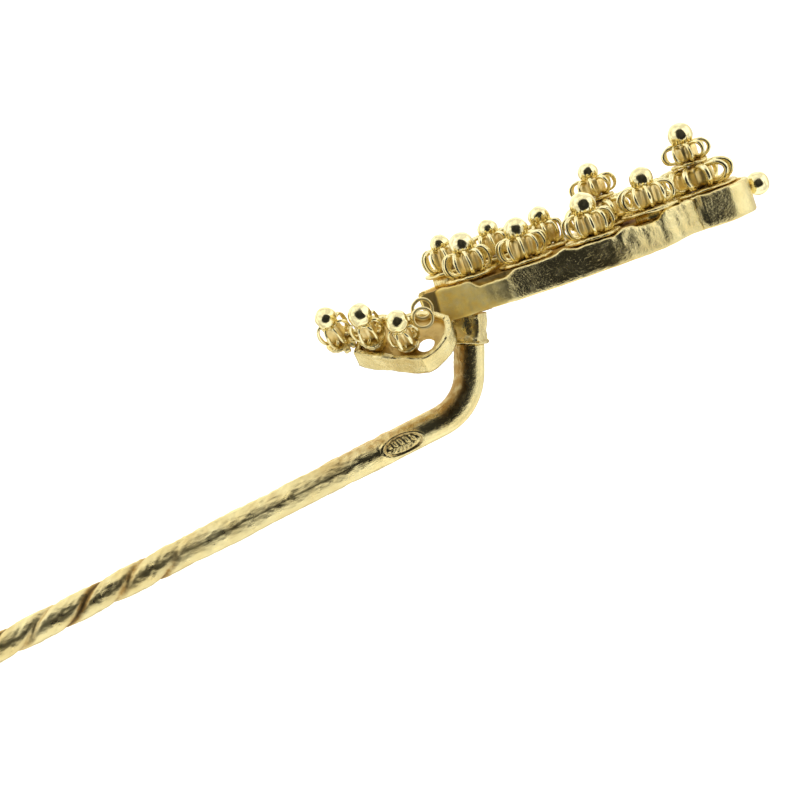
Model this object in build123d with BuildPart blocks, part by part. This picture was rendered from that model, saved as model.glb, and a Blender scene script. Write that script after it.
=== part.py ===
"""Hat pin with a filigree head, in millimetres.

A round stem ends in a gooseneck bend under a small square block.  The block carries the head: a
plate of wire rosettes walled by a strip on edge, a raised round collet at its far end, and a
separate tilted side leaf.  Each rosette is a seat, a coil of round wire bent into a ring, and a ball.

Frame: the origin is on the stem's axis where its straight shank ends and the gooseneck begins.
-X runs along the shank to the point, +Z is up on the head's side, and the stem lies in Y = 0.
"""

from math import cos, hypot, pi, radians, sin, sqrt
import os

from build123d import *

# ---------------------------------------------------------------- stem
STEM_D = 1.4
SHANK_LENGTH = 9.6  # plain round shank next to the gooseneck
STEP_LENGTH = 0.5  # cone between the plain shank and the slightly slimmer twisted stretch
TWIST_D = 1.34
TWIST_LENGTH = 24.0
TWIST_PITCH = 4.8  # of each of its grooves
GROOVE_STARTS = (0, 180)  # turns of the grooves about the shank, in degrees
GROOVE_R = 0.17
GROOVE_DEPTH = 0.12
TAPER_LENGTH = 15.5
TAIL_D = 1.2
TAIL_LENGTH = 12.4  # plain round stretch before the point
POINT_LENGTH = 5.0
POINT_TIP_D = 0.16
NECK_START_X = 2.82
NECK_RADIUS = 2.42
NECK_ANGLE = 63.0
NECK_TOP_RUN = 1.39  # straight run above the bend, up to the block

# ---------------------------------------------------------------- block under the head
BLOCK_SIDE = 1.36
BLOCK_LIP_SIDE = 1.52
BLOCK_LIP_HEIGHT = 0.18
BLOCK_HEIGHT = 1.4
BLOCK_TURN = -20.0  # turned about its own axis
BLOCK_ROUND = 0.12

# ---------------------------------------------------------------- head
HEAD_PITCH = 8.2  # the head's far end dips by this much from the shank's direction
RIM_WALL = 0.28
RIM_BOTTOM = 0.05
RIM_TOP = 1.4
NEAR_WALL_TOP = 1.52  # the wall is taller at both of its ends
PLATE_THICKNESS = 0.3
PLATE_HOLE_R = 0.55  # the plate is pierced under every rosette
FIT_GAP = 0.02  # solder gap between pieces
BRIDGE_HEIGHT = 0.35
BRIDGE_WIDTH = 1.9
BRIDGE_REACH = 12.0  # longer than the head is wide, so the rim trims it

# The collet is the raised round wall at the far end.
COLLET_CENTRE = (11.75, 1.15)
COLLET_R = 2.3
COLLET_BOTTOM = 0.15
COLLET_TOP = 1.7

# The main rim's corners, along and across the head, each with the bulge of the arc that follows it.
MAIN_OUTLINE = [
    ((-1.15, -1.10), 0.15),
    ((1.95, -2.20), 0.28),
    ((6.90, -2.85), 0.12),
    ((10.70, -1.30), 0.0),
    ((11.30, -0.90), 0.0),
    ((10.90, 3.00), 0.0),
    ((9.30, 3.20), 0.85),
    ((5.60, 3.45), 0.25),
    ((3.15, 3.10), 0.30),
    ((0.85, 3.05), 0.35),
    ((-1.55, 2.75), 0.55),
]

# The stretches where the wall is taller: middle, width along the head, and the wall's top there.
RAISED_DEPTH = 2.6
RAISED_WALLS = [
    ((-0.95, -1.20), 3.0, NEAR_WALL_TOP),
    ((10.20, -1.60), 1.5, COLLET_TOP),
]

# ---------------------------------------------------------------- side leaf
LEAF_PLACE = (-3.98, -1.32, 0.31)
LEAF_TILT = (46.0, -6.3, -30.3)
LEAF_RIM_DEPTH = 1.1
LEAF_PLATE_THICKNESS = 0.25
LEAF_PLATE_TOP = -0.32
LEAF_HOLE_R = 0.34
LEAF_WINDOW = (1.88, -0.05)  # the opening through the plate at the leaf's inner end
LEAF_WINDOW_R = 0.42
LEAF_OUTLINE = [
    ((-1.34, -0.86), 0.15),
    ((2.10, -1.06), 0.52),
    ((2.75, 1.30), 0.30),
    ((0.40, 1.20), 0.18),
    ((-1.30, 0.95), 0.0),
]
# Each ring's place along and across the leaf, and the height of its centre.
LEAF_RINGS = [((1.73, 1.17), 0.66), ((1.85, 0.72), 0.61)]
LEAF_RING_R = 0.44
LEAF_RING_WIRE = 0.17

# ---------------------------------------------------------------- rosettes
SEAT_THICKNESS = 0.16
SEAT_MARGIN = 0.02
SEAT_INSET = 0.06  # a crown's loops stand out over its seat
PEDESTAL_INSET = 0.12
PEDESTAL_MAX_R = 0.84  # leaves room beside the collet
PEDESTAL_WALL = 0.2
WIRE = 0.18
LEAF_WIRE = 0.16
CROWN_WIRE = 0.26
LOOPS = 11
LEAF_LOOPS = 7
CROWN_LOOPS = 12
TOP_LOOPS = 9
WIRE_SIDES = 8  # an eight-sided section stands for the round wire
COIL_HEIGHT = 1.12
CROWN_HEIGHT = 1.15
TOP_COIL_HEIGHT = 0.94
TOP_COIL_R = 1.16
TIER_R = 0.86
COIL_CROWDING = 1.07  # spacing of the loops round the middle hole, in wire diameters
POINTS_PER_LOOP = 8
POINTS_LEFT_OPEN = 2

PEG_R = 0.18
SMALL_PEG_R = 0.12
BALL_GAP = 0.008  # between a ball and the loops it rests on

# name: place along and across the head, seat top, coil radius, ball radius
HEAD_ROSETTES = {
    "front_1": ((0.65, -0.30), 1.70, 1.20, 0.56),
    "front_2": ((3.15, -0.95), 1.58, 1.24, 0.56),
    "front_3": ((6.30, -1.45), 1.62, 1.30, 0.60),
    "front_4": ((9.20, -0.95), 1.93, 1.38, 0.55),
    "back_1": ((-0.20, 1.90), 2.04, 1.08, 0.45),
    "back_2": ((2.10, 1.75), 1.94, 1.12, 0.47),
    "back_3": ((4.50, 1.70), 1.63, 1.00, 0.51),
}
# name: place along and across the head, seat top, crown radius, ball radius
TALL_ROSETTES = {
    "back_tall": ((7.31, 2.10), 1.68, 1.78, 0.47),
    "end_tall": (COLLET_CENTRE, COLLET_TOP + SEAT_THICKNESS, 1.90, 0.57),
}
# name: place along and across the leaf, tilt, seat top, seat radius, coil radius, coil height, ball radius
LEAF_ROSETTES = {
    "leaf_1": ((-2.12, -0.18), -5.0, 0.10, 0.72, 0.82, 1.30, 0.50),
    "leaf_2": ((-0.49, -0.17), 0.0, 0.38, 0.64, 0.80, 1.28, 0.54),
    "leaf_3": ((1.16, -0.19), 0.0, 0.08, 0.57, 0.76, 1.20, 0.52),
}
TIP_BALL_R = 0.55
TIP_BALL_BEARING = 14.0
TIP_BALL_HEIGHT = 1.15

# ---------------------------------------------------------------- worked-out places
neck_end_x = NECK_START_X + NECK_RADIUS * sin(radians(NECK_ANGLE))
neck_end_z = NECK_RADIUS * (1 - cos(radians(NECK_ANGLE)))
neck_way = Vector(cos(radians(NECK_ANGLE)), 0, sin(radians(NECK_ANGLE)))
block_foot = Vector(neck_end_x, 0, neck_end_z) + neck_way * NECK_TOP_RUN
head_origin = block_foot + neck_way * BLOCK_HEIGHT
block_plane = Plane(origin=block_foot, x_dir=(neck_way.Z, 0, -neck_way.X), z_dir=neck_way)
head = Plane(
    origin=head_origin,
    x_dir=(cos(radians(HEAD_PITCH)), 0, -sin(radians(HEAD_PITCH))),
    z_dir=(sin(radians(HEAD_PITCH)), 0, cos(radians(HEAD_PITCH))),
)
leaf = Plane(head.location * Location(LEAF_PLACE, LEAF_TILT))


def moved(frame, place, height=0.0, tilt=0.0):
    """A plane at a place and height in a frame, tipped about the frame's second axis."""
    return Plane(frame.location * Location((place[0], place[1], height), (0, tilt, 0)))


def outline(corners):
    """Draws a closed outline of arcs that bulge outward, inside a BuildLine."""
    for (start, bulge), (end, _) in zip(corners, corners[1:] + corners[:1]):
        run = hypot(end[0] - start[0], end[1] - start[1])
        middle_x = (start[0] + end[0]) / 2 + bulge * (end[1] - start[1]) / run
        middle_y = (start[1] + end[1]) / 2 - bulge * (end[0] - start[0]) / run
        if bulge:
            ThreePointArc(start, (middle_x, middle_y), end)
        else:
            Line(start, end)


def write(piece, name):
    piece.part.label = name
    export_step(piece.part, f"parts/{name}.step")


def make_seat(name, plane, radius, drop):
    """A flat disc with its top at the plane's origin, on a short round pedestal of height drop."""
    with BuildPart() as seat:
        with BuildSketch(plane):
            Circle(radius)
        extrude(amount=-SEAT_THICKNESS)
        if drop > SEAT_THICKNESS:
            pedestal_r = min(radius - PEDESTAL_INSET, PEDESTAL_MAX_R)
            with BuildSketch(plane.offset(-SEAT_THICKNESS)):
                Circle(pedestal_r)
                Circle(pedestal_r - PEDESTAL_WALL, mode=Mode.SUBTRACT)
            extrude(amount=SEAT_THICKNESS - drop)
    write(seat, name)


def loop_points(loops, wire, outer, height):
    """How far from the ring's axis, and how far above its middle, one loop passes, turn by turn."""
    inner = COIL_CROWDING * loops * wire / (2 * pi)
    reach = (outer - wire / 2 - inner) / 2
    rise = (height - wire) / 2
    turns = [2 * pi * i / POINTS_PER_LOOP for i in range(POINTS_PER_LOOP)]
    return [(inner + reach - reach * cos(turn), rise * sin(turn)) for turn in turns]


def make_coil(name, plane, loops, wire, outer, height):
    """One wire wound into standing loops, bent round into a ring that stands on the plane."""
    loop = loop_points(loops, wire, outer, height)
    points = []
    for i in range(loops * POINTS_PER_LOOP + 1 - POINTS_LEFT_OPEN):
        around = 2 * pi * i / (POINTS_PER_LOOP * loops)
        radius, rise = loop[i % POINTS_PER_LOOP]
        point = (radius * cos(around), radius * sin(around), height / 2 + rise)
        points.append(plane.from_local_coords(point))
    with BuildPart() as coil:
        with BuildLine() as path:
            Spline(*points)
        with BuildSketch(Plane(origin=path.line @ 0, z_dir=path.line % 0)):
            RegularPolygon(wire / 2, WIRE_SIDES)
        sweep(path=path.line, is_frenet=True)
    write(coil, name)


def make_ball(name, plane, radius, peg_radius, loops, wire, outer, height):
    """A ball that rests in the top of a coil, on a peg that stands on the coil's plane."""
    contact = radius + wire / 2 + BALL_GAP
    centre = height / 2 + max(
        rise + sqrt(contact**2 - reach**2)
        for reach, rise in loop_points(loops, wire, outer, height)
        if reach < contact
    )
    with BuildPart() as ball:
        with BuildSketch(plane):
            Circle(peg_radius)
        extrude(amount=centre - radius / 2)
        with Locations(plane.offset(centre).location):
            Sphere(radius)
    write(ball, name)


os.makedirs("parts", exist_ok=True)

# ================================================================ pin stem
shank_end = -SHANK_LENGTH
twist_start = shank_end - STEP_LENGTH
taper_start = twist_start - TWIST_LENGTH
tail_start = taper_start - TAPER_LENGTH
point_start = tail_start - TAIL_LENGTH
point_end = point_start - POINT_LENGTH

with BuildPart() as pin_stem:
    with BuildLine(Plane.XZ) as stem_path:
        Line((shank_end, 0), (NECK_START_X, 0))
        JernArc((NECK_START_X, 0), (1, 0), NECK_RADIUS, NECK_ANGLE)
        Line((neck_end_x, neck_end_z), (block_foot.X, block_foot.Z))
    with BuildSketch(Plane(origin=(shank_end, 0, 0), z_dir=(1, 0, 0))):
        Circle(STEM_D / 2)
    sweep(path=stem_path.line)
    # The step, the twisted stretch, the taper, the plain tail and the point are one turned profile.
    with BuildSketch(Plane.XZ):
        with BuildLine():
            Polyline(
                (shank_end, 0),
                (shank_end, STEM_D / 2),
                (twist_start, TWIST_D / 2),
                (taper_start, TWIST_D / 2),
                (tail_start, TAIL_D / 2),
                (point_start, TAIL_D / 2),
                (point_end, POINT_TIP_D / 2),
                (point_end, 0),
                close=True,
            )
        make_face()
    revolve(axis=Axis.X)
    # Two grooves wind round the twisted stretch.
    with BuildLine() as groove_path:
        Helix(
            pitch=TWIST_PITCH,
            height=TWIST_LENGTH,
            radius=TWIST_D / 2 + GROOVE_R - GROOVE_DEPTH,
            center=(twist_start, 0, 0),
            direction=(-1, 0, 0),
            lefthand=True,
        )
    with BuildSketch(Plane(origin=groove_path.line @ 0, z_dir=groove_path.line % 0)):
        Circle(GROOVE_R)
    groove = sweep(path=groove_path.line, is_frenet=True, mode=Mode.PRIVATE)
    for groove_start in GROOVE_STARTS:
        add(groove.rotate(Axis.X, groove_start), mode=Mode.SUBTRACT)
write(pin_stem, "pin_stem")

# ================================================================ block between stem and head
with BuildPart() as neck_block:
    with BuildSketch(block_plane):
        RectangleRounded(BLOCK_LIP_SIDE, BLOCK_LIP_SIDE, BLOCK_ROUND, rotation=BLOCK_TURN)
    extrude(amount=BLOCK_LIP_HEIGHT)
    with BuildSketch(block_plane.offset(BLOCK_LIP_HEIGHT)):
        RectangleRounded(BLOCK_SIDE, BLOCK_SIDE, BLOCK_ROUND, rotation=BLOCK_TURN)
    extrude(amount=BLOCK_HEIGHT)
    split(bisect_by=head, keep=Keep.BOTTOM)
write(neck_block, "neck_block")

# ================================================================ main rim and its plate
with BuildPart() as main_rim:
    with BuildSketch(head.offset(RIM_BOTTOM)):
        with BuildLine():
            outline(MAIN_OUTLINE)
        make_face()
        offset(amount=-RIM_WALL, mode=Mode.SUBTRACT)
        with Locations(COLLET_CENTRE):
            Circle(COLLET_R + FIT_GAP, mode=Mode.SUBTRACT)
    extrude(amount=RIM_TOP - RIM_BOTTOM)
    # The wall steps up beside the first and the last front rosettes.
    for middle, width, top in RAISED_WALLS:
        with BuildSketch(head.offset(RIM_TOP)):
            with BuildLine():
                outline(MAIN_OUTLINE)
            make_face()
            offset(amount=-RIM_WALL, mode=Mode.SUBTRACT)
            with Locations(middle):
                Rectangle(width, RAISED_DEPTH, mode=Mode.INTERSECT)
            with Locations(COLLET_CENTRE):
                Circle(COLLET_R + FIT_GAP, mode=Mode.SUBTRACT)
        extrude(amount=top - RIM_TOP)
write(main_rim, "main_rim")

seat_places = [values[0] for values in HEAD_ROSETTES.values()]
with BuildPart() as main_plate:
    with BuildSketch(head.offset(RIM_TOP - PLATE_THICKNESS)):
        with BuildLine():
            outline(MAIN_OUTLINE)
        make_face()
        offset(amount=-RIM_WALL - FIT_GAP, mode=Mode.REPLACE)
        with Locations(COLLET_CENTRE):
            Circle(COLLET_R + FIT_GAP, mode=Mode.SUBTRACT)
        with Locations(*seat_places, TALL_ROSETTES["back_tall"][0]):
            Circle(PLATE_HOLE_R, mode=Mode.SUBTRACT)
    extrude(amount=PLATE_THICKNESS)
write(main_plate, "main_plate")

# The bridge is the strap across the underside that the block is soldered to.
with BuildPart() as under_bridge:
    with BuildSketch(head):
        with BuildLine():
            outline(MAIN_OUTLINE)
        make_face()
        offset(amount=-RIM_WALL - FIT_GAP, mode=Mode.REPLACE)
        with Locations((0.05, 0)):
            Rectangle(BRIDGE_WIDTH, BRIDGE_REACH, mode=Mode.INTERSECT)
    extrude(amount=BRIDGE_HEIGHT)
write(under_bridge, "under_bridge")

# ================================================================ collet at the far end
with BuildPart() as end_collet:
    with BuildSketch(moved(head, COLLET_CENTRE, COLLET_BOTTOM)):
        Circle(COLLET_R)
        Circle(COLLET_R - RIM_WALL, mode=Mode.SUBTRACT)
    extrude(amount=COLLET_TOP - COLLET_BOTTOM)
write(end_collet, "end_collet")

with BuildPart() as end_plate:
    with BuildSketch(moved(head, COLLET_CENTRE, COLLET_TOP - PLATE_THICKNESS)):
        Circle(COLLET_R - RIM_WALL - FIT_GAP)
        Circle(PLATE_HOLE_R, mode=Mode.SUBTRACT)
    extrude(amount=PLATE_THICKNESS)
write(end_plate, "end_plate")

tip_reach = COLLET_R + TIP_BALL_R + FIT_GAP
with BuildPart() as tip_ball:
    tip_place = (
        COLLET_CENTRE[0] + tip_reach * cos(radians(TIP_BALL_BEARING)),
        COLLET_CENTRE[1] + tip_reach * sin(radians(TIP_BALL_BEARING)),
    )
    with Locations(moved(head, tip_place, TIP_BALL_HEIGHT).location):
        Sphere(TIP_BALL_R)
write(tip_ball, "tip_ball")

# ================================================================ side leaf
with BuildPart() as leaf_rim:
    with BuildSketch(leaf):
        with BuildLine():
            outline(LEAF_OUTLINE)
        make_face()
        offset(amount=-RIM_WALL, mode=Mode.SUBTRACT)
    extrude(amount=-LEAF_RIM_DEPTH)
    # It is filed away where it meets the main rim, the bridge and the block.
    with BuildSketch(head.offset(-BLOCK_HEIGHT - 1.0)):
        with BuildLine():
            outline(MAIN_OUTLINE)
        make_face()
        offset(amount=FIT_GAP, mode=Mode.REPLACE)
    extrude(amount=RIM_TOP + BLOCK_HEIGHT + 2.0, mode=Mode.SUBTRACT)
write(leaf_rim, "leaf_rim")

with BuildPart() as leaf_plate:
    with BuildSketch(leaf.offset(LEAF_PLATE_TOP)):
        with BuildLine():
            outline(LEAF_OUTLINE)
        make_face()
        offset(amount=-RIM_WALL - FIT_GAP, mode=Mode.REPLACE)
        with Locations(LEAF_WINDOW):
            Circle(LEAF_WINDOW_R, mode=Mode.SUBTRACT)
        with Locations(*[values[0] for values in LEAF_ROSETTES.values()]):
            Circle(LEAF_HOLE_R, mode=Mode.SUBTRACT)
    extrude(amount=-LEAF_PLATE_THICKNESS)
write(leaf_plate, "leaf_plate")

with BuildPart() as leaf_rings:
    for place, rise in LEAF_RINGS:
        ring_plane = moved(leaf, place, rise)
        with Locations(Plane(origin=ring_plane.origin, x_dir=(1, 0, 0), z_dir=(0, -1, 0.12)).location):
            Torus(LEAF_RING_R, LEAF_RING_WIRE / 2)
write(leaf_rings, "leaf_rings")

# ================================================================ rosettes
for name, (place, seat_top, coil_r, ball_r) in HEAD_ROSETTES.items():
    seat_plane = moved(head, place, seat_top)
    coil = (LOOPS, WIRE, coil_r, COIL_HEIGHT)
    make_seat(f"{name}_seat", seat_plane, coil_r + SEAT_MARGIN, seat_top - RIM_TOP)
    make_coil(f"{name}_coil", seat_plane, *coil)
    make_ball(f"{name}_ball", seat_plane, ball_r, PEG_R, *coil)

# A tall rosette is a wide crown of heavy loops with a smaller rosette on a disc above it.
for name, (place, seat_top, crown_r, ball_r) in TALL_ROSETTES.items():
    floor_height = RIM_TOP if name == "back_tall" else COLLET_TOP
    seat_plane = moved(head, place, seat_top)
    tier_plane = seat_plane.offset(CROWN_HEIGHT + SEAT_THICKNESS)
    coil = (TOP_LOOPS, WIRE, TOP_COIL_R, TOP_COIL_HEIGHT)
    make_seat(f"{name}_seat", seat_plane, crown_r - SEAT_INSET, seat_top - floor_height)
    make_coil(f"{name}_crown", seat_plane, CROWN_LOOPS, CROWN_WIRE, crown_r, CROWN_HEIGHT)
    make_seat(f"{name}_tier", tier_plane, TIER_R, 0.0)
    make_coil(f"{name}_coil", tier_plane, *coil)
    make_ball(f"{name}_ball", tier_plane, ball_r, SMALL_PEG_R, *coil)

for name, (place, tilt, seat_top, seat_r, coil_r, coil_height, ball_r) in LEAF_ROSETTES.items():
    seat_plane = moved(leaf, place, seat_top, tilt)
    coil = (LEAF_LOOPS, LEAF_WIRE, coil_r, coil_height)
    drop = 0.0 if tilt else seat_top - LEAF_PLATE_TOP
    make_seat(f"{name}_seat", seat_plane, seat_r, drop)
    make_coil(f"{name}_coil", seat_plane, *coil)
    make_ball(f"{name}_ball", seat_plane, ball_r, SMALL_PEG_R, *coil)
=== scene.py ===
"""Hat pin with a filigree head: the looks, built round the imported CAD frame.

Lengths are in millimetres in the CAD's own frame, and MM turns them into Blender's metres.
"""
from math import atan2, ceil, cos, exp, hypot, pi, radians, sin, sqrt

import bpy
from mathutils import Matrix, Vector, noise


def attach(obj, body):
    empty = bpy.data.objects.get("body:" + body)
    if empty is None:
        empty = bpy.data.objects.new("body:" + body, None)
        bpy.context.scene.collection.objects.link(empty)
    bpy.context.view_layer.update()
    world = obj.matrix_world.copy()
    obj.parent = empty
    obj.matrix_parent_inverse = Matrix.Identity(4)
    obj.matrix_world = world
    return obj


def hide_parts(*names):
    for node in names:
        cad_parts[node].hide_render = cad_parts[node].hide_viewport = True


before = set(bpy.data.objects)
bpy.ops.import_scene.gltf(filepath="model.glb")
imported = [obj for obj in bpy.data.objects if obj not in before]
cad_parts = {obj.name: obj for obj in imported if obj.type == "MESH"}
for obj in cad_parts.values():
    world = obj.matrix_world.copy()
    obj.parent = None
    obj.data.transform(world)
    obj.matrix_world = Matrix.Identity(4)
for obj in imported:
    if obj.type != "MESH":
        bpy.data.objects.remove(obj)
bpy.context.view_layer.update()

MM = 0.001

# ---------------------------------------------------------------- the CAD's named sizes
STEM_R = 0.7
SHANK_END = -9.6
TWIST_START = -10.1
TWIST_R = 0.67
TWIST_PITCH = 4.8
TAPER_START = -34.1
TAIL_START = -49.6
TAIL_R = 0.6
POINT_START = -62.0
POINT_END = -67.0
POINT_TIP_R = 0.08
NECK_START_X = 2.82
NECK_RADIUS = 2.42
NECK_ANGLE = radians(63.0)
NECK_TOP_RUN = 1.39
BLOCK_SIDE = 1.36
BLOCK_LIP_SIDE = 1.52
BLOCK_LIP_HEIGHT = 0.18
BLOCK_HEIGHT = 1.4
BLOCK_TURN = radians(-20.0)
HEAD_PITCH = radians(8.2)
RIM_WALL = 0.28
RIM_BOTTOM = 0.05
RIM_TOP = 1.4
NEAR_WALL_TOP = 1.52
COLLET_CENTRE = (11.75, 1.15)
COLLET_R = 2.3
COLLET_BOTTOM = 0.15
COLLET_TOP = 1.7
MAIN_OUTLINE = [
    ((-1.15, -1.10), 0.15),
    ((1.95, -2.20), 0.28),
    ((6.90, -2.85), 0.12),
    ((10.70, -1.30), 0.0),
    ((11.30, -0.90), 0.0),
    ((10.90, 3.00), 0.0),
    ((9.30, 3.20), 0.85),
    ((5.60, 3.45), 0.25),
    ((3.15, 3.10), 0.30),
    ((0.85, 3.05), 0.35),
    ((-1.55, 2.75), 0.55),
]
LEAF_PLACE = (-3.98, -1.32, 0.31)
LEAF_TILT = (46.0, -6.3, -30.3)
LEAF_RIM_DEPTH = 1.1
LEAF_PLATE_TOP = -0.32
LEAF_OUTLINE = [
    ((-1.34, -0.86), 0.15),
    ((2.10, -1.06), 0.52),
    ((2.75, 1.30), 0.30),
    ((0.40, 1.20), 0.18),
    ((-1.30, 0.95), 0.0),
]
LEAF_RINGS = [((1.73, 1.17), 0.66), ((1.85, 0.72), 0.61)]
LEAF_RING_R = 0.44
LEAF_RING_WIRE = 0.17
SEAT_THICKNESS = 0.16
SEAT_MARGIN = 0.02
SEAT_INSET = 0.06
PEDESTAL_INSET = 0.12
PEDESTAL_MAX_R = 0.84
PEDESTAL_WALL = 0.2
WIRE = 0.18
LEAF_WIRE = 0.16
CROWN_WIRE = 0.26
LOOPS = 11
LEAF_LOOPS = 7
CROWN_LOOPS = 12
TOP_LOOPS = 9
COIL_HEIGHT = 1.12
CROWN_HEIGHT = 1.15
TOP_COIL_HEIGHT = 0.94
TOP_COIL_R = 1.16
TIER_R = 0.86
COIL_CROWDING = 1.07
POINTS_PER_LOOP = 8
PEG_R = 0.18
SMALL_PEG_R = 0.12
BALL_GAP = 0.008
# name: place along and across the head, seat top, coil radius, ball radius
HEAD_ROSETTES = {
    "front_1": ((0.65, -0.30), 1.70, 1.20, 0.56),
    "front_2": ((3.15, -0.95), 1.58, 1.24, 0.56),
    "front_3": ((6.30, -1.45), 1.62, 1.30, 0.60),
    "front_4": ((9.20, -0.95), 1.93, 1.38, 0.55),
    "back_1": ((-0.20, 1.90), 2.04, 1.08, 0.45),
    "back_2": ((2.10, 1.75), 1.94, 1.12, 0.47),
    "back_3": ((4.50, 1.70), 1.63, 1.00, 0.51),
}
# name: place along and across the head, seat top, crown radius, ball radius
TALL_ROSETTES = {
    "back_tall": ((7.31, 2.10), 1.68, 1.78, 0.47),
    "end_tall": (COLLET_CENTRE, COLLET_TOP + SEAT_THICKNESS, 1.90, 0.57),
}
# name: place along and across the leaf, tilt, seat top, seat radius, coil radius, coil height, ball radius
LEAF_ROSETTES = {
    "leaf_1": ((-2.12, -0.18), -5.0, 0.10, 0.72, 0.82, 1.30, 0.50),
    "leaf_2": ((-0.49, -0.17), 0.0, 0.38, 0.64, 0.80, 1.28, 0.54),
    "leaf_3": ((1.16, -0.19), 0.0, 0.08, 0.57, 0.76, 1.20, 0.52),
}
TIP_BALL_R = 0.55
TIP_BALL_BEARING = radians(14.0)
TIP_BALL_HEIGHT = 1.15
FIT_GAP = 0.02

# ---------------------------------------------------------------- sizes of the looks alone
COIL_STEPS = 22
COIL_SIDES = 10
RING_TARNISH = 0.6
SOLDER_R = 0.17
SOLDER_BEARINGS = (-48.0, -22.0, 4.0, 30.0)
INNER_ADVANCE = 0.75
WALL_STEP = 0.07
END_RISE = 0.14
END_LAP = 0.12
COLLET_FLATS = [(radians(-79.0), radians(18.0)), (radians(-119.0), radians(22.0))]
FLAT_AMOUNT = 0.9
MARK_X = 0.87
MARK_LENGTH = 1.95
MARK_WIDTH = 1.0
MARK_DROP = 0.18
MARK_TURN = radians(6.0)
GROOVES = 2
FIRST_GROOVE_X = -11.95
GROOVE_DEPTH = 0.12
GROOVE_WIDTH = 0.17
STEM_SIDES = 144
BEND_TARNISH = 1.2
# painted shade and painted reflection on the top of the shank near the head
SHANK_PAINTED_SHADE = 0.8
FLATTING = 0.05
FACET = 0.5
FACET_SWELL = 0.055
SPECKLE = 0.3

# ---------------------------------------------------------------- camera
HEAD_SLOPE_IN_VIEW = radians(19.0)
VIEW_ELEVATION = radians(6.5)
VIEW_DISTANCE = 120.0
VIEW_WIDTH = 36.36
VIEW_CENTRE = (1.65, 0.0, 1.71)
FLOOR_HALF = 1500.0
FLOOR_Z = -25.0

head_x = Vector((cos(HEAD_PITCH), 0, -sin(HEAD_PITCH)))
head_z = Vector((sin(HEAD_PITCH), 0, cos(HEAD_PITCH)))


def view_axes():
    """Right, up and back of the camera: level with the head, looking slightly down on it, rolled."""
    back = Vector((0, -cos(VIEW_ELEVATION), 0)) + head_z * sin(VIEW_ELEVATION)
    across = head_z * cos(VIEW_ELEVATION) + Vector((0, sin(VIEW_ELEVATION), 0))
    right = head_x * cos(HEAD_SLOPE_IN_VIEW) - across * sin(HEAD_SLOPE_IN_VIEW)
    return right, back.cross(right), back


# ---------------------------------------------------------------- frames of the CAD's pieces
def frame_at(origin, x_dir, z_dir):
    z = Vector(z_dir).normalized()
    x = (Vector(x_dir) - z * z.dot(Vector(x_dir))).normalized()
    turn = Matrix((x, z.cross(x), z)).transposed().to_4x4()
    return Matrix.Translation(origin) @ turn


def moved(base, place, height=0.0, tilt=0.0):
    shift = Matrix.Translation((place[0], place[1], height))
    return base @ shift @ Matrix.Rotation(radians(tilt), 4, "Y")


neck_end = Vector((NECK_START_X + NECK_RADIUS * sin(NECK_ANGLE), 0, NECK_RADIUS * (1 - cos(NECK_ANGLE))))
neck_way = Vector((cos(NECK_ANGLE), 0, sin(NECK_ANGLE)))
block_foot = neck_end + neck_way * NECK_TOP_RUN
head = frame_at(block_foot + neck_way * BLOCK_HEIGHT, head_x, head_z)
leaf_turn = [Matrix.Rotation(radians(angle), 4, axis) for angle, axis in zip(LEAF_TILT, "XYZ")]
leaf = head @ Matrix.Translation(LEAF_PLACE) @ leaf_turn[0] @ leaf_turn[1] @ leaf_turn[2]


# ---------------------------------------------------------------- small maths
def smooth(low, high, value):
    t = min(1.0, max(0.0, (value - low) / (high - low)))
    return t * t * (3 - 2 * t)


def wobble(value, seed):
    """A smooth random curve between -1 and 1."""
    return noise.noise(Vector((value, seed * 7.31, seed * 3.17))) * 1.6


def outline_points(corners, step):
    """Points along a closed outline of arcs that bulge outward."""
    points = []
    for (start, bulge), (end, _) in zip(corners, corners[1:] + corners[:1]):
        a, b = Vector(start), Vector(end)
        run = (b - a).length
        count = max(2, int(ceil(run / step)))
        out = Vector(((b - a).y, -(b - a).x)) / run
        for i in range(count):
            t = i / count
            rise = 0.0
            if bulge:
                radius = (run * run / 4 + bulge * bulge) / (2 * bulge)
                rise = sqrt(radius * radius - (run * (t - 0.5)) ** 2) - radius + bulge
            points.append(a + (b - a) * t + out * rise)
    return points


def inside(point, polygon):
    """Whether a point lies inside a closed polygon."""
    hit = False
    for a, b in zip(polygon, polygon[1:] + polygon[:1]):
        if (a.y > point.y) != (b.y > point.y):
            if point.x < a.x + (b.x - a.x) * (point.y - a.y) / (b.y - a.y):
                hit = not hit
    return hit


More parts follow.
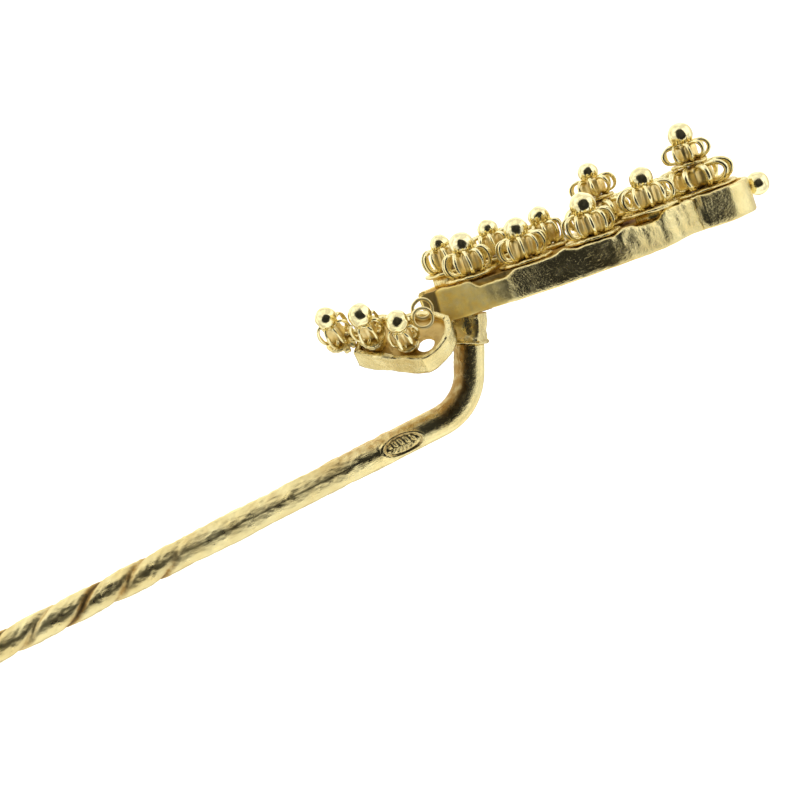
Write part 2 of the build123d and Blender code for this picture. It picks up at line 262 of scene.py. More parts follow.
# ---------------------------------------------------------------- mesh making
class Shape:
    """Vertices and faces of one piece, gathered from grids, with a grime value for each vertex: real grime on
    some pieces, painted light and shade on others.
    """

    def __init__(self):
        self.points = []
        self.faces = []
        self.grime_and_light = []

    def grid(self, rows, closed=False, caps=True, grime_and_light=None):
        """A skin over rows of points; each row is a closed ring."""
        base = len(self.points)
        sides = len(rows[0])
        for r, row in enumerate(rows):
            self.points += [Vector(p) for p in row]
            self.grime_and_light += grime_and_light[r] if grime_and_light else [0.0] * sides
        count = len(rows)
        for r in range(count if closed else count - 1):
            for k in range(sides):
                a, b = base + r * sides, base + (r + 1) % count * sides
                n = (k + 1) % sides
                self.faces.append((a + k, a + n, b + n, b + k))
        if caps and not closed:
            for r, flip in ((0, True), (count - 1, False)):
                ring = [base + r * sides + k for k in range(sides)]
                middle = sum((self.points[i] for i in ring), Vector()) / sides
                self.points.append(middle)
                self.grime_and_light.append(0.0)
                hub = len(self.points) - 1
                for a, b in zip(ring, ring[1:] + ring[:1]):
                    self.faces.append((b, a, hub) if flip else (a, b, hub))
        return self

    def tube(self, path, radius, sides, closed=False):
        """A round tube along a path, its rings turned as little as possible."""
        path = [Vector(p) for p in path]
        count = len(path)
        if closed:
            ways = [(path[(i + 1) % count] - path[i - 1]).normalized() for i in range(count)]
        else:
            ways = [(path[min(i + 1, count - 1)] - path[max(i - 1, 0)]).normalized() for i in range(count)]
        side = ways[0].orthogonal().normalized()
        rows = []
        for i, way in enumerate(ways):
            side = (side - way * side.dot(way)).normalized()
            other = way.cross(side)
            r = radius(i) if callable(radius) else radius
            turns = [2 * pi * k / sides for k in range(sides)]
            rows.append([path[i] + (side * cos(t) + other * sin(t)) * r for t in turns])
        return self.grid(rows, closed=closed)

    def sphere(self, centre, radius, rings=28, sides=40, squash=1.0, seed=0.0, uneven=0.0):
        rows = []
        for r in range(1, rings):
            lat = pi * r / rings
            row = []
            for k in range(sides):
                lon = 2 * pi * k / sides
                way = Vector((sin(lat) * cos(lon), sin(lat) * sin(lon), cos(lat) * squash))
                swell = 1 + uneven * noise.noise(way * 1.7 + Vector((seed, seed * 1.3, -seed)))
                row.append(Vector(centre) + way * radius * swell)
            rows.append(row)
        return self.grid(rows)

    def at(self, place):
        self.points = [place @ p for p in self.points]
        return self


def roughen(mesh, layers, seed):
    """Moves vertices along their normals by layers of noise: size in mm, amount in mm, mask."""
    moved_points = []
    for vertex in mesh.vertices:
        p = vertex.co / MM
        push = 0.0
        for size, amount, mask in layers:
            weight = mask(p) if mask else 1.0
            if weight:
                push += weight * amount * noise.noise(p / size + Vector((seed, -seed, seed * 2.1)))
        moved_points.append(vertex.co + vertex.normal * push * MM)
    for vertex, point in zip(mesh.vertices, moved_points):
        vertex.co = point


def add_piece(name, shape, material, replaces=(), layers=(), seed=0.0):
    """Turns a shape into an object that rides on the frame."""
    mesh = bpy.data.meshes.new(name)
    points = [p * MM for p in shape.points]
    volume = 0.0
    for face in shape.faces:
        for i in range(1, len(face) - 1):
            a, b, c = points[face[0]], points[face[i]], points[face[i + 1]]
            volume += a.dot(b.cross(c))
    faces = shape.faces if volume > 0 else [tuple(reversed(face)) for face in shape.faces]
    mesh.from_pydata([tuple(p) for p in points], [], faces)
    mesh.shade_smooth()
    mesh.update()
    if layers:
        roughen(mesh, layers, seed)
        mesh.update()
    attribute = mesh.attributes.new("grime_and_light", "FLOAT", "POINT")
    attribute.data.foreach_set("value", shape.grime_and_light)
    mesh.materials.append(material)
    piece = bpy.data.objects.new(name, mesh)
    bpy.context.scene.collection.objects.link(piece)
    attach(piece, "root")
    if replaces:
        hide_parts(*replaces)
    return piece


# ---------------------------------------------------------------- materials
def gold(name, base, shade, roughness, bumps, scratches=0.0, patina_and_shade=0.6, grime_and_light_color=(0.10, 0.055, 0.02),
         dulling=0.5, edge=(1.0, 0.95, 0.80), haze=None):
    """Worn gold: noise in colour and roughness, bumps of several sizes, and an amber blend where it is hollow
    that is partly patina and partly painted shade.

    The grime value of a vertex turns it from gold to the grime colour between 0 and 1, and to soot between 1
    and 2; that colour is real dirt on some pieces and painted light and shade on others.
    Haze adds to the roughness. It is given as the X in mm where it is full, the X where it ends, and how
    strong it is.
    """
    material = bpy.data.materials.new(name)
    material.use_nodes = True
    nodes, links = material.node_tree.nodes, material.node_tree.links
    shader = nodes["Principled BSDF"]
    shader.inputs["Metallic"].default_value = 1.0
    shader.inputs["Specular Tint"].default_value = (*edge, 1)
    coord = nodes.new("ShaderNodeTexCoord")
    in_mm = nodes.new("ShaderNodeVectorMath")
    in_mm.operation = "SCALE"
    in_mm.inputs["Scale"].default_value = 1 / MM
    links.new(coord.outputs["Object"], in_mm.inputs[0])

    def field(scale, detail=3.0, stretch=None):
        texture = nodes.new("ShaderNodeTexNoise")
        texture.inputs["Scale"].default_value = scale
        texture.inputs["Detail"].default_value = detail
        source = in_mm.outputs[0]
        if stretch:
            mapping = nodes.new("ShaderNodeMapping")
            mapping.inputs["Rotation"].default_value = stretch[0]
            mapping.inputs["Scale"].default_value = stretch[1]
            links.new(source, mapping.inputs["Vector"])
            source = mapping.outputs[0]
        links.new(source, texture.inputs["Vector"])
        return texture.outputs["Fac"]

    def remap(value, low, high, to_low, to_high):
        node = nodes.new("ShaderNodeMapRange")
        for key, number in (("From Min", low), ("From Max", high), ("To Min", to_low), ("To Max", to_high)):
            node.inputs[key].default_value = number
        links.new(value, node.inputs["Value"])
        return node.outputs["Result"]

    def blend(factor, first, second):
        node = nodes.new("ShaderNodeMix")
        node.data_type = "RGBA"
        links.new(factor, node.inputs["Factor"])
        for socket, color in ((node.inputs["A"], first), (node.inputs["B"], second)):
            if isinstance(color, tuple):
                socket.default_value = (*color, 1)
            else:
                links.new(color, socket)
        return node.outputs["Result"]

    tone = blend(remap(field(0.9, 5.0), 0.38, 0.66, 0.0, 1.0), base, shade)
    # Amber blended in where the surface is hollow: partly patina, partly painted shade and painted light
    # bounced between the gold surfaces.
    hollow = nodes.new("ShaderNodeAmbientOcclusion")
    hollow.samples = 6
    hollow.inputs["Distance"].default_value = 0.38 * MM
    patina_and_shade_tone = blend(remap(hollow.outputs["AO"], 0.15, 0.8, patina_and_shade, 0.0), tone, (0.62, 0.40, 0.10))
    # The grime value blends in the grime colour: real dirt on some pieces, and painted light and painted
    # shade on others, such as the band's bright near end, the coil barrels and the top of the shank.
    grime_and_light = nodes.new("ShaderNodeAttribute")
    grime_and_light.attribute_name = "grime_and_light"
    patchy = nodes.new("ShaderNodeMath")
    patchy.operation = "MULTIPLY"
    patchy.use_clamp = True
    links.new(grime_and_light.outputs["Fac"], patchy.inputs[0])
    links.new(remap(field(3.0, 4.0), 0.35, 0.6, 0.35, 1.0), patchy.inputs[1])
    grime_and_light_tone = blend(patchy.outputs[0], patina_and_shade_tone, grime_and_light_color)
    sooty = remap(grime_and_light.outputs["Fac"], 1.0, 2.0, 0.0, 1.0)
    links.new(blend(sooty, grime_and_light_tone, SOOT), shader.inputs["Base Color"])
    gloss = remap(field(2.2, 6.0), 0.35, 0.68, roughness[0], roughness[1])
    if haze:
        along = nodes.new("ShaderNodeSeparateXYZ")
        links.new(in_mm.outputs[0], along.inputs[0])
        hazy = nodes.new("ShaderNodeMath")
        hazy.operation = "ADD"
        links.new(remap(along.outputs["X"], haze[0], haze[1], haze[2], 0.0), hazy.inputs[0])
        links.new(gloss, hazy.inputs[1])
        gloss = hazy.outputs[0]
    dull = nodes.new("ShaderNodeMath")
    dull.operation = "MULTIPLY_ADD"
    dull.use_clamp = True
    dull.inputs[1].default_value = dulling
    links.new(grime_and_light.outputs["Fac"], dull.inputs[0])
    links.new(gloss, dull.inputs[2])
    links.new(dull.outputs[0], shader.inputs["Roughness"])
    height = None
    layers = [(field(scale, 4.0), depth) for scale, depth in bumps]
    if scratches:
        layers.append((field(1.0, 2.0, ((0.3, 0.1, 0.2), (2.0, 26.0, 26.0))), scratches))
        layers.append((field(1.0, 2.0, ((1.0, 0.9, 0.7), (30.0, 3.0, 30.0))), scratches * 0.6))
    for texture, depth in layers:
        bump = nodes.new("ShaderNodeBump")
        bump.inputs["Strength"].default_value = 1.0
        bump.inputs["Distance"].default_value = depth * MM
        links.new(texture, bump.inputs["Height"])
        if height:
            links.new(height, bump.inputs["Normal"])
        height = bump.outputs["Normal"]
    if height:
        links.new(height, shader.inputs["Normal"])
    return material


BRIGHT = (0.90, 0.78, 0.40)
MID = (0.80, 0.65, 0.29)
SOOT = (0.13, 0.085, 0.035)
PALE = (0.99, 0.89, 0.52)
ball_gold = gold("ball_gold", PALE, BRIGHT, (0.07, 0.22), [(1.6, 0.020), (7.0, 0.006)], patina_and_shade=0.3)
# Painted light: the wire's grime colour is the amber glow inside the coil barrels; it also tints the leaf
# rings amber.
wire_gold = gold(
    "wire_gold", PALE, BRIGHT, (0.10, 0.28), [(5.0, 0.012), (18.0, 0.005)], patina_and_shade=0.28,
    grime_and_light_color=(1.0, 0.78, 0.34), dulling=0.24)
SHEET_BUMPS = [(1.3, 0.05), (5.0, 0.03), (16.0, 0.010)]
sheet_gold = gold("sheet_gold", BRIGHT, MID, (0.12, 0.34), SHEET_BUMPS, 0.008, 0.5)
# Painted light: the rim's grime colour is the brighter amber on the near end of the front wall, where it
# mirrors the dark opening.
rim_gold = gold(
    "rim_gold", BRIGHT, MID, (0.10, 0.30),
    [(0.9, 0.03), (4.0, 0.022), (11.0, 0.010), (26.0, 0.004)], 0.012, 0.5,
    grime_and_light_color=(1.0, 0.80, 0.26), dulling=0.6)
# The stem's grime colour is real dirt in the grooves and tarnish at the bend, and painted shade along the top
# of the shank near the head.
stem_gold = gold(
    "stem_gold", BRIGHT, MID, (0.09, 0.26), [(2.5, 0.014), (7.0, 0.012), (22.0, 0.006)], 0.010, 0.5,
    grime_and_light_color=(0.46, 0.28, 0.085), dulling=0.12, haze=(-3.0, -0.6, 0.17))
# Painted shade: a darker, rougher copy of the sheet gold for the plates that lie deep under the rosettes.
shaded_plate_gold = gold(
    "shaded_plate_gold", (0.74, 0.55, 0.22), (0.60, 0.42, 0.15), (0.30, 0.50), SHEET_BUMPS,
    patina_and_shade=1.0, edge=(0.75, 0.55, 0.25))


# ---------------------------------------------------------------- stem
def stem_path():
    """Stations along the stem's centre line: distance along X or the bend, point and slope."""
    spans = [
        (POINT_END, POINT_START, 0.25),
        (POINT_START, -20.0, 0.35),
        (-20.0, -0.4, 0.09),
        (-0.4, 2.1, 0.03),
        (2.1, NECK_START_X, 0.09),
    ]
    stations = []
    for start, end, step in spans:
        count = int(ceil((end - start) / step))
        for i in range(count):
            x = start + (end - start) * i / count
            stations.append((x, Vector((x, 0, 0)), 0.0))
    bend_length = NECK_RADIUS * NECK_ANGLE
    count = 34
    for i in range(count):
        slope = NECK_ANGLE * i / count
        point = Vector((NECK_START_X + NECK_RADIUS * sin(slope), 0, NECK_RADIUS * (1 - cos(slope))))
        stations.append((NECK_START_X + bend_length * i / count, point, slope))
    count = 20
    for i in range(count + 1):
        run = NECK_TOP_RUN * i / count
        stations.append((NECK_START_X + bend_length + run, neck_end + neck_way * run, NECK_ANGLE))
    return stations


def bare_radius(x):
    if x < POINT_START:
        t = (x - POINT_END) / (POINT_START - POINT_END)
        return POINT_TIP_R + (TAIL_R - POINT_TIP_R) * (1 - (1 - t) ** 1.25)
    if x < TAIL_START:
        return TAIL_R
    if x < TAPER_START:
        return TAIL_R + (TWIST_R - TAIL_R) * smooth(TAIL_START, TAPER_START, x)
    return TWIST_R + (STEM_R - TWIST_R) * smooth(TWIST_START - 0.6, SHANK_END + 0.6, x)


def mark_relief(u, v):
    """Height and grime of the punched oval: a sunk field with a raised edge and plain slanted strokes."""
    e = hypot(u / (MARK_LENGTH / 2), v / (MARK_WIDTH / 2))
    if e > 1.5:
        return 0.0, 0.0
    field = 1 - smooth(0.84, 0.97, e)
    lip = exp(-(((e - 1.06) / 0.09) ** 2))
    upper = smooth(0.0, 0.06, v) * (1 - smooth(0.30, 0.36, v))
    lower = smooth(-0.36, -0.30, v) * (1 - smooth(-0.08, -0.02, v))
    slanted = (u + 0.42 * v) / 0.29
    crossed = (u - 0.30 * v + 0.07 * sin(13 * v)) / 0.25
    bar = 0.5 + 0.5 * cos(2 * pi * slanted)
    hook = 0.5 + 0.5 * cos(2 * pi * crossed + 2.2 * sin(5.3 * u))
    strokes = max(upper * smooth(0.45, 0.8, bar), lower * smooth(0.45, 0.8, hook))
    strokes *= 1 - smooth(0.70, 0.84, e)
    relief = -0.085 * field + 0.075 * strokes * field + 0.035 * lip
    return relief, 0.12 * field * (1 - strokes) + 0.9 * exp(-(((e - 0.92) / 0.04) ** 2))


def make_stem():
    rows, grime_and_light_rows = [], []
    front = pi - atan2(sin(VIEW_ELEVATION), cos(VIEW_ELEVATION))
    girth = 2 * pi * TWIST_R
    groove_gap = TWIST_PITCH / GROOVES * girth / hypot(girth, TWIST_PITCH)
    for x, centre, slope in stem_path():
        normal = Vector((-sin(slope), 0, cos(slope)))
        base = bare_radius(x)
        twist = smooth(SHANK_END - 0.2, FIRST_GROOVE_X - 0.3, x) * smooth(TAPER_START, TAPER_START + 1.5, x)
        facet = FACET * (1 - smooth(-1.6, 0.1, x)) * (1 - 0.7 * twist) * smooth(-34.0, -26.0, x)
        row, grime_and_light = [], []
        for k in range(STEM_SIDES):
            turn = 2 * pi * k / STEM_SIDES
            radius = base
            dirt_and_shade = 0.0
            if facet > 0:
                sixth = pi / 3
                offset = (turn - front + sixth / 2) % sixth - sixth / 2
                sag = cos(sixth / 2) / cos(sixth / 2 - abs(offset))
                radius *= 1 - facet * (1 - sag) + FACET_SWELL * facet
            if twist > 0:
                phase = GROOVES * ((x - FIRST_GROOVE_X) / TWIST_PITCH + (turn - pi / 2) / (2 * pi))
                phase += 0.05 * wobble(x * 0.6, 3)
                gap = abs(phase - round(phase)) * groove_gap
                depth = 1 + 0.35 * wobble(x * 1.3 + turn, 5)
                radius += twist * 0.03 * (smooth(0.0, 1.0, gap) - 0.5)
                radius -= twist * depth * GROOVE_DEPTH * exp(-((gap / GROOVE_WIDTH) ** 2))
                dirt_and_shade = 1.3 * twist * exp(-((gap / 0.19) ** 2)) * (
                    0.5 + 1.0 * smooth(-0.25, 0.35, wobble(x * 1.1 + turn * 0.8, 9) + 0.2))
                second = abs((phase + 0.43) - round(phase + 0.43)) * groove_gap
                radius -= twist * 0.02 * exp(-((second / 0.08) ** 2))
            inward = (turn - pi / 2 + pi) % (2 * pi) - pi
            dirt_and_shade = max(dirt_and_shade, BEND_TARNISH * smooth(2.2, 3.6, x) * (1 - smooth(0.9, 1.45, abs(inward - 0.35))))
            upper = abs(inward - 0.3)
            # Painted shade and painted reflection of the gold head: the top of the shank near the head
            # darkens towards the stem's brown.
            dirt_and_shade = max(dirt_and_shade, SHANK_PAINTED_SHADE * smooth(-5.0, -1.0, x) * (1 - smooth(0.4, 1.2, upper)))
            speckle = smooth(0.0, 0.5, wobble(x * 2.1 + turn * 1.7, 21)) * (1 - smooth(0.5, 1.6, upper))
            dirt_and_shade = max(dirt_and_shade, SPECKLE * speckle * (1 - smooth(-2.0, 0.0, x)))
            radius *= 1 - FLATTING * smooth(1.8, 3.6, x) * exp(-(((turn - front - 0.12) / 0.5) ** 2))
            if -0.6 < x < 2.4:
                away = (turn - front + pi) % (2 * pi) - pi
                if abs(away) < 1.3:
                    u, v = x - MARK_X, -away * STEM_R + MARK_DROP
                    relief, soot = mark_relief(
                        u * cos(MARK_TURN) - v * sin(MARK_TURN), u * sin(MARK_TURN) + v * cos(MARK_TURN))
                    radius += relief
                    dirt_and_shade = max(dirt_and_shade, soot)
            side = Vector((0, 1, 0)) * cos(turn) + normal * sin(turn)
            row.append(centre + side * radius)
            grime_and_light.append(dirt_and_shade)
        rows.append(row)
        grime_and_light_rows.append(grime_and_light)

    def on_shank(p):
        return 1 - 0.8 * smooth(-0.5, 1.5, p.x)

    def worked(p):
        """Tool marks: strong along the shank and the twist, and weaker on its lower side."""
        return on_shank(p) * (0.6 + 0.4 * smooth(-0.25, 0.25, p.z))

    def inner_bend(p):
        return smooth(2.2, 3.2, p.x) * smooth(0.15, 0.45, p.z - (p.x - NECK_START_X) * 0.9) * 0.9

    shape = Shape().grid(rows, grime_and_light=grime_and_light_rows)
    layers = [
        (2.2, 0.045, on_shank),
        (0.42, 0.034, worked),
        (0.16, 0.022, worked),
        (0.7, 0.012, on_shank),
        (0.12, 0.03, inner_bend),
    ]
    return add_piece("stem_skin", shape, stem_gold, ["pin_stem"], layers, 2.0)


# ---------------------------------------------------------------- block under the head
def rounded_square(side, turn, corner=0.16, count=72):
    points = []
    flat = side / 2 - corner
    for k in range(count):
        angle = 2 * pi * k / count
        way = Vector((cos(angle), sin(angle)))
        reach = (side / 2) / max(abs(way.x), abs(way.y))
        point = way * reach
        over = Vector((max(abs(point.x) - flat, 0), max(abs(point.y) - flat, 0)))
        if over.length > corner:
            over = over.normalized() * corner
            point = Vector((
                (min(abs(point.x), flat) + over.x) * (1 if point.x > 0 else -1),
                (min(abs(point.y), flat) + over.y) * (1 if point.y > 0 else -1),
            ))
        points.append(Matrix.Rotation(turn, 2) @ point)
    return points


def make_block():
    place = frame_at(block_foot, (neck_way.z, 0, -neck_way.x), neck_way)
    levels = [
        (0.0, BLOCK_LIP_SIDE - 0.14), (0.03, BLOCK_LIP_SIDE - 0.03), (0.09, BLOCK_LIP_SIDE + 0.02),
        (0.15, BLOCK_LIP_SIDE - 0.03), (BLOCK_LIP_HEIGHT + 0.02, BLOCK_SIDE + 0.01),
    ]
    levels += [(BLOCK_LIP_HEIGHT + 0.06 + i * 0.075, BLOCK_SIDE) for i in range(17)]
    head_point = head.translation
    rows = []
    for height, side in levels:
        row = []
        for p in rounded_square(side, BLOCK_TURN):
            point = place @ Vector((p.x, p.y, height))
            ceiling = (head_point - point).dot(head_z) / neck_way.dot(head_z)
            row.append(point + neck_way * min(0.0, ceiling))
        rows.append(row)
    layers = [(0.55, 0.07, None), (0.2, 0.035, None), (0.09, 0.012, None)]
    grime_and_light = [
        [0.35 * smooth(-0.2, 0.5, wobble(k * 0.2 + r * 0.3, 11)) for k in range(72)]
        for r in range(len(rows))]
    shape = Shape().grid(rows, grime_and_light=grime_and_light)
    add_piece("block_skin", shape, sheet_gold, ["neck_block"], layers, 5.0)


# ---------------------------------------------------------------- walls on edge
def wall_rows(points, closed, bottom, top, thickness, place):
    """Rings of a strip on edge that follows points; its heights and thickness are given for each point."""
    count = len(points)
    rows = []
    for i, point in enumerate(points):
        before = points[(i - 1) % count] if closed or i > 0 else points[0]
        after = points[(i + 1) % count] if closed or i < count - 1 else points[-1]
        way = (after - before).normalized()
        out = Vector((way.y, -way.x))
        low, high, wall = bottom(point), top(point), thickness(point)
        ring = [(-0.05, low)]
        ring += [(0.0, low + (high - low) * t) for t in (0.05, 0.18, 0.32, 0.46, 0.6, 0.74, 0.86, 0.95)]
        ring += [(-0.035, high - 0.012), (-0.10, high), (-wall + 0.08, high), (-wall + 0.03, high - 0.015)]
        ring += [(-wall, low + (high - low) * t) for t in (0.93, 0.7, 0.45, 0.2, 0.05)]
        ring += [(-wall + 0.05, low)]
        rows.append([place @ Vector((*(point + out * n), z)) for n, z in ring])
    return rows


def edge_rise(point, seed):
    return 0.045 * noise.noise(Vector((point.x * 1.9, point.y * 1.9, seed))) + 0.02 * noise.noise(
        Vector((point.x * 7, point.y * 7, seed)))


def main_top(point):
    """The wall's top: taller at the near end and beside the collet on the front side."""
    front = 1 - smooth(-1.2, -0.7, point.y)
    near = (1 - smooth(0.25, 0.75, point.x)) * (1 - smooth(-0.3, 0.3, point.y))
    dip = smooth(0.3, 0.8, point.x) * (1 - smooth(1.9, 2.5, point.x)) * front
    far = smooth(9.2, 9.7, point.x) * front
    crust = exp(-(((point.x - 4.75) / 0.4) ** 2)) + exp(-(((point.x - 7.75) / 0.45) ** 2))
    height = RIM_TOP + (NEAR_WALL_TOP - RIM_TOP) * near + (COLLET_TOP - RIM_TOP) * far
    height += 0.16 * crust * front - 0.25 * dip
    return height + edge_rise(point, 1.0)


def make_main_rim():
    points = outline_points(MAIN_OUTLINE, WALL_STEP)
    centre = Vector(COLLET_CENTRE)
    kept = [(p - centre).length > COLLET_R - END_LAP for p in points]
    start = next(i for i in range(len(points)) if kept[i] and not kept[i - 1])
    ordered = points[start:] + points[:start]
    ordered = [p for p in ordered if (p - centre).length > COLLET_R - END_LAP]
    rows = wall_rows(
        ordered, False, lambda p: RIM_BOTTOM + END_RISE * smooth(9.0, 10.9, p.x), main_top,
        lambda p: RIM_WALL, head)
    to_head = head.inverted()

    def beaten(p):
        """Hammer marks, which stop short of the wall's clean lower edge."""
        q = to_head @ p
        return (0.25 + 0.75 * smooth(6.4, 7.2, q.x)) * (0.25 + 0.75 * smooth(0.1, 0.45, q.z))

    def near_end(p):
        """Soft dents along the near end of the front wall."""
        return 1 - smooth(1.6, 2.4, (to_head @ p).x)

    def amber_light_and_dark_end(p):
        """Blotchy amber along the near end of the front wall, which is painted light where the wall mirrors
        the dark opening, and near-black brown on the end wall.
        """
        q = to_head @ p
        front = smooth(-1.0, -0.7, q.x) * (1 - smooth(1.5, 2.3, q.x)) * (1 - smooth(-1.0, -0.6, q.y))
        blotch = smooth(-0.3, 0.3, wobble(q.x * 1.6 + q.z * 1.9, 33))
        end_wall = (1 - smooth(-1.0, -0.7, q.x)) * (1 - smooth(1.6, 2.2, q.y))
        patch = smooth(-0.2, 0.3, wobble(q.y * 1.3, 14) + 0.15)
        return front * (0.45 + 0.5 * blotch) + end_wall * (0.8 + 1.0 * patch)

    # Painted light on the near end of the front wall; darkening on the end wall.
    grime_and_light = [[amber_light_and_dark_end(p) for p in row] for row in rows]
    layers = [(1.5, 0.05, None), (0.5, 0.07, beaten), (0.17, 0.030, beaten), (0.9, 0.06, near_end)]
    add_piece("main_band", Shape().grid(rows, grime_and_light=grime_and_light), rim_gold, ["main_rim"], layers, 8.0)


def make_collet():
    count = 220
    turns = [2 * pi * i / count for i in range(count)]
    points = []
    for turn in turns:
        reach = COLLET_R
        for bearing, half in COLLET_FLATS:
            away = abs((turn - bearing + pi) % (2 * pi) - pi)
            if away < half:
                reach *= 1 - FLAT_AMOUNT * (1 - cos(half) / cos(away))
        points.append(Vector((COLLET_CENTRE[0] + reach * cos(turn), COLLET_CENTRE[1] + reach * sin(turn))))
    rows = wall_rows(
        points, True, lambda p: COLLET_BOTTOM, lambda p: COLLET_TOP + 0.5 * edge_rise(p, 4.0),
        lambda p: RIM_WALL, head)
    to_head = head.inverted()

    def beaten(p):
        q = to_head @ p
        return (0.05 + 0.95 * (1 - smooth(11.3, 11.7, q.x))) * (0.25 + 0.75 * smooth(0.2, 0.5, q.z))

    layers = [(1.3, 0.03, None), (0.45, 0.12, beaten), (0.16, 0.05, beaten)]
    shape = Shape().grid(rows, closed=True)
    add_piece("collet_band", shape, rim_gold, ["end_collet"], layers, 3.0)


def make_leaf_rim():
    main = outline_points(MAIN_OUTLINE, 0.3)
    to_head = head.inverted()
    points = outline_points(LEAF_OUTLINE, WALL_STEP)

    def swallowed(p):
        q = to_head @ (leaf @ Vector((p.x, p.y, -0.3)))
        return inside(Vector((q.x, q.y)), main) and q.z < RIM_TOP

    kept = [not swallowed(p) for p in points]
    if all(kept):
        ordered, closed = points, True
    else:
        start = next(i for i in range(len(points)) if kept[i] and not kept[i - 1])
        ordered = [p for p in points[start:] + points[:start] if not swallowed(p)]
        closed = False
    rows = wall_rows(
        ordered, closed, lambda p: -LEAF_RIM_DEPTH + 0.5 * edge_rise(p, 9.0), lambda p: edge_rise(p, 2.0),
        lambda p: RIM_WALL, leaf)
    layers = [(1.2, 0.09, None), (0.4, 0.03, None), (0.15, 0.006, None)]
    shape = Shape().grid(rows, closed=closed)
    add_piece("leaf_band", shape, rim_gold, ["leaf_rim"], layers, 6.0)


# ---------------------------------------------------------------- rosettes
def loop_points(loops, wire, outer, height):
    """How far from the ring's axis, and how far above its middle, one of the CAD's loops passes."""
    inner = COIL_CROWDING * loops * wire / (2 * pi)
    reach = (outer - wire / 2 - inner) / 2
    rise = (height - wire) / 2
    turns = [2 * pi * i / POINTS_PER_LOOP for i in range(POINTS_PER_LOOP)]
    return [(inner + reach - reach * cos(turn), rise * sin(turn)) for turn in turns]


def ball_height(radius, loops, wire, outer, height):
    contact = radius + wire / 2 + BALL_GAP
    return height / 2 + max(
        rise + sqrt(contact**2 - reach**2)
        for reach, rise in loop_points(loops, wire, outer, height)
        if reach < contact
    )


def add_coil(name, place, loops, wire, outer, height, seed, start=90.0, core=0.72):
    """One wire in standing loops round a ring: most of each step to the next loop is on the inner side.

    The crowded inner sides of the loops are a lumpy barrel that fills part of the ring; it is painted amber,
    painted light bounced between the loops.
    """
    inner = COIL_CROWDING * loops * wire / (2 * pi)
    reach = (outer - wire / 2 - inner) / 2
    rise = (height - wire) / 2
    path = []
    for i in range(loops * COIL_STEPS + 1 - COIL_STEPS // 5):
        turn = 2 * pi * i / COIL_STEPS
        loop = i / COIL_STEPS
        around = loop + INNER_ADVANCE * sin(turn) / (2 * pi)
        outside = 0.5 - 0.5 * cos(turn)
        around += outside * 0.13 * wobble(loop * 0.93, seed)
        angle = radians(start) + 2 * pi * around / loops
        bulge = cos(turn)
        bulge = (abs(bulge) ** 0.85) * (1 if bulge > 0 else -1)
        radius = inner + reach - reach * bulge * (1 + 0.05 * outside * wobble(loop * 0.8, seed + 4))
        up = rise * sin(turn) * (1 + 0.05 * wobble(loop * 0.8, seed + 8))
        path.append((radius * cos(angle), radius * sin(angle), height / 2 + up))
    thick = wire / 2
    shape = Shape().tube(path, lambda i: thick * (1 + 0.05 * wobble(i * 0.13, seed + 2)), COIL_SIDES)
    waist = inner + core * reach
    sides = 12 * loops
    rows = []
    for k in range(sides):
        angle = radians(start) + 2 * pi * k / sides
        fold = 1 + 0.05 * cos(loops * (angle - radians(start))) + 0.05 * wobble(5 * cos(angle), seed + 6)
        ring = [
            (0.35, 0.05), (0.8, 0.06), (0.97, 0.18), (1.0, 0.36),
            (1.0, 0.62), (0.95, 0.8), (0.75, 0.92), (0.35, 0.94)]
        rows.append([
            (waist * fold * r * cos(angle), waist * fold * r * sin(angle), height * z) for r, z in ring])
    # Painted light: the barrel takes the full amber grime colour of the wire gold.
    shape.grid(rows, closed=True, grime_and_light=[[1.0] * 8] * sides)
    shape.at(place)
    add_piece(name + "_loops", shape, wire_gold, [name], [(0.34, 0.05, None)], seed)


def add_ball(name, place, radius, peg_r, loops, wire, outer, height, seed):
    """A granule on its peg, with a lumpy ring of solder where it rests on the loops."""
    centre = ball_height(radius, loops, wire, outer, height)
    shape = Shape().sphere((0, 0, centre), radius, seed=seed, uneven=0.05)
    shape.tube([(0, 0, 0.02 + i * (centre - radius * 0.6) / 6) for i in range(7)], peg_r, 16)
    ring_r = radius * 0.62
    low = centre - radius * 0.76
    ring = [2 * pi * i / 60 for i in range(60)]
    seam = [
        (ring_r * cos(t), ring_r * sin(t), low + 0.03 * wobble(3 * cos(t) + 2 * sin(t), seed)) for t in ring]
    shape.tube(seam, lambda i: 0.09 * (1 + 0.3 * wobble(5 * sin(2 * pi * i / 60), seed + 1)), 10, True)
    shape.at(place)
    layers = [(0.35, 0.012, None)]
    add_piece(name.replace("_ball", "_granule"), shape, ball_gold, [name], layers, seed)


